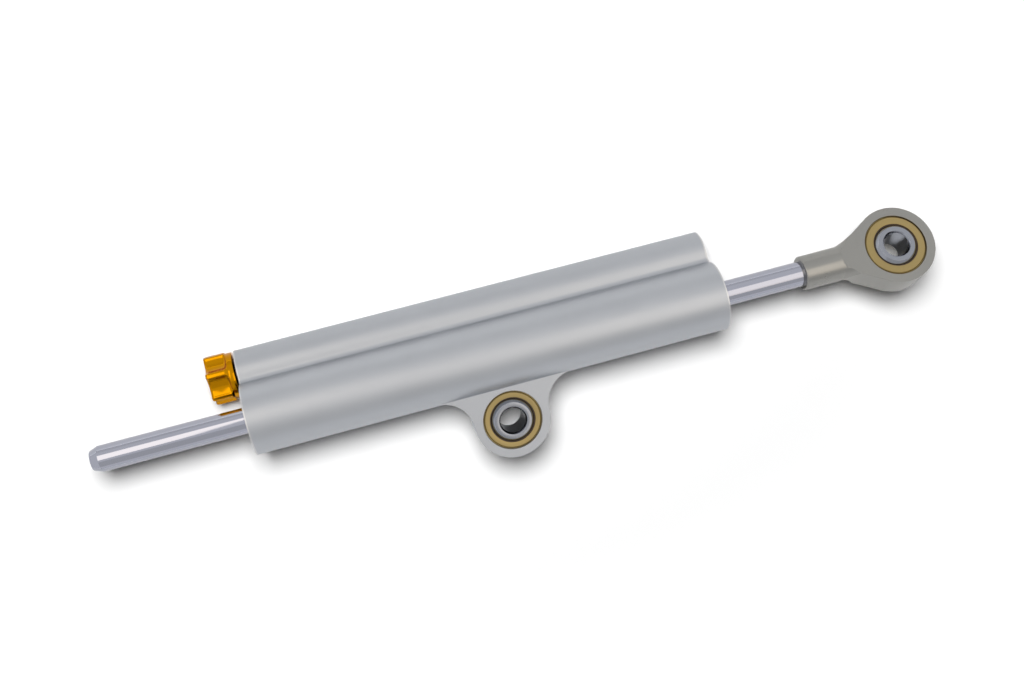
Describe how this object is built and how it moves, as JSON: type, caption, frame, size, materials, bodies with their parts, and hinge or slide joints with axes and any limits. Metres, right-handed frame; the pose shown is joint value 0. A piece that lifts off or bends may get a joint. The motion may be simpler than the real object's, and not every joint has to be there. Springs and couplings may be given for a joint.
{
  "type": "motorcycle steering damper",
  "caption": "Through-rod linear damper: barrel with side reservoir lobe, bearing lug, chromed rod with bearing eye, and a turn knob for the damping.",
  "frame": {"origin": "centre of the spherical bearing in the body's lug", "axes": "+X along the rod towards the rod-end eye, +Z along the lug bearing's bore, +Y from the lug towards the barrel"},
  "size_m": [0.2717, 0.0528, 0.0289],
  "materials": {
    "body_aluminium": "bead-blasted and clear anodised, matte",
    "head_aluminium": "turned, fine lathe finish",
    "eye_titanium_grey": "blasted and anodised warm grey, satin",
    "race_bronze": "turned bronze, satin",
    "bush_bronze": "plain",
    "bearing_steel": "ground and polished",
    "rod_chrome": "hard chromed, polished",
    "gold_anodised": "turned, then anodised gold",
    "machined_steel": "turned",
    "black_steel": "black oxide",
    "spring_steel": "drawn wire",
    "seat_brass": "turned",
    "washer_copper": "annealed copper",
    "black_rubber": "moulded, dull",
    "seal_polyurethane": "moulded polyurethane",
    "liner_ptfe": "woven bronze-brown slip liner"
  },
  "bodies": {
    "body": {"damper_body": "body_aluminium", "left_seal_head": "head_aluminium", "right_seal_head": "head_aluminium", "left_rod_bush": "bush_bronze", "right_rod_bush": "bush_bronze", "left_rod_seal": "seal_polyurethane", "right_rod_seal": "seal_polyurethane", "left_wiper": "black_rubber", "right_wiper": "black_rubber", "head_o_rings": "black_rubber", "head_circlips": "black_steel", "lug_bearing_race": "race_bronze", "adjuster_housing": "head_aluminium", "housing_o_ring": "black_rubber", "adjuster_circlip": "black_steel", "detent_ball": "bearing_steel", "detent_spring": "spring_steel", "needle_seat": "seat_brass", "passage_plugs": "machined_steel", "bleed_screw": "black_steel", "bleed_washer": "washer_copper", "reservoir_spring": "spring_steel", "reservoir_end_plug": "head_aluminium", "end_plug_o_ring": "black_rubber", "reservoir_circlip": "black_steel"},
    "lug_liner": {"lug_bearing_liner": "liner_ptfe"},
    "lug_ball": {"lug_bearing_ball": "bearing_steel"},
    "knob": {"adjuster_knob": "gold_anodised", "knob_grub_screw": "black_steel", "adjuster_spindle": "machined_steel", "spindle_o_ring": "black_rubber"},
    "needle": {"adjuster_needle": "machined_steel", "needle_o_ring": "black_rubber"},
    "separator": {"separating_piston": "head_aluminium", "separator_o_ring": "black_rubber"},
    "piston_group": {"piston": "head_aluminium", "piston_ring": "liner_ptfe", "piston_o_ring": "black_rubber"},
    "rod": {"piston_rod": "rod_chrome", "piston_snap_rings": "black_steel", "rod_end_eye": "eye_titanium_grey", "eye_bearing_race": "race_bronze"},
    "eye_liner": {"eye_bearing_liner": "liner_ptfe"},
    "eye_ball": {"eye_bearing_ball": "bearing_steel"}
  },
  "joints": [
    {"name": "piston_slide", "type": "slide", "parent": "body", "child": "piston_group", "axis": [1, 0, 0], "range_m": [-0.0225, 0.0455]},
    {"name": "rod_turn", "type": "hinge", "parent": "piston_group", "child": "rod", "pos_m": [0, 0.0206, 0], "axis": [1, 0, 0], "continuous": true},
    {"name": "lug_swivel", "type": "hinge", "parent": "body", "child": "lug_liner", "pos_m": [0, 0, 0], "axis": [0, 0, 1], "continuous": true},
    {"name": "lug_tilt", "type": "hinge", "parent": "lug_liner", "child": "lug_ball", "pos_m": [0, 0, 0], "axis": [0, 1, 0], "range_deg": [-9, 9]},
    {"name": "eye_swivel", "type": "hinge", "parent": "rod", "child": "eye_liner", "pos_m": [0.1334, 0.0206, 0], "axis": [0, 0.4695, 0.8829], "continuous": true},
    {"name": "eye_tilt", "type": "hinge", "parent": "eye_liner", "child": "eye_ball", "pos_m": [0.1334, 0.0206, 0], "axis": [0, 0.8829, -0.4695], "range_deg": [-9, 9]},
    {"name": "knob_turn", "type": "hinge", "parent": "body", "child": "knob", "pos_m": [0, 0.03301, -0.01041], "axis": [1, 0, 0], "range_deg": [-450, 450]},
    {"name": "needle_slide", "type": "slide", "parent": "body", "child": "needle", "axis": [1, 0, 0], "range_m": [-0.001, 0.001]},
    {"name": "separator_slide", "type": "slide", "parent": "body", "child": "separator", "axis": [1, 0, 0], "range_m": [-0.003, 0.003], "stiffness_N_per_m": 2000, "deforming": ["reservoir_spring"]}
  ],
  "couplings": [
    {"joint": "knob_turn", "follows": "needle_slide", "rad_per_m": 7854}
  ]
}
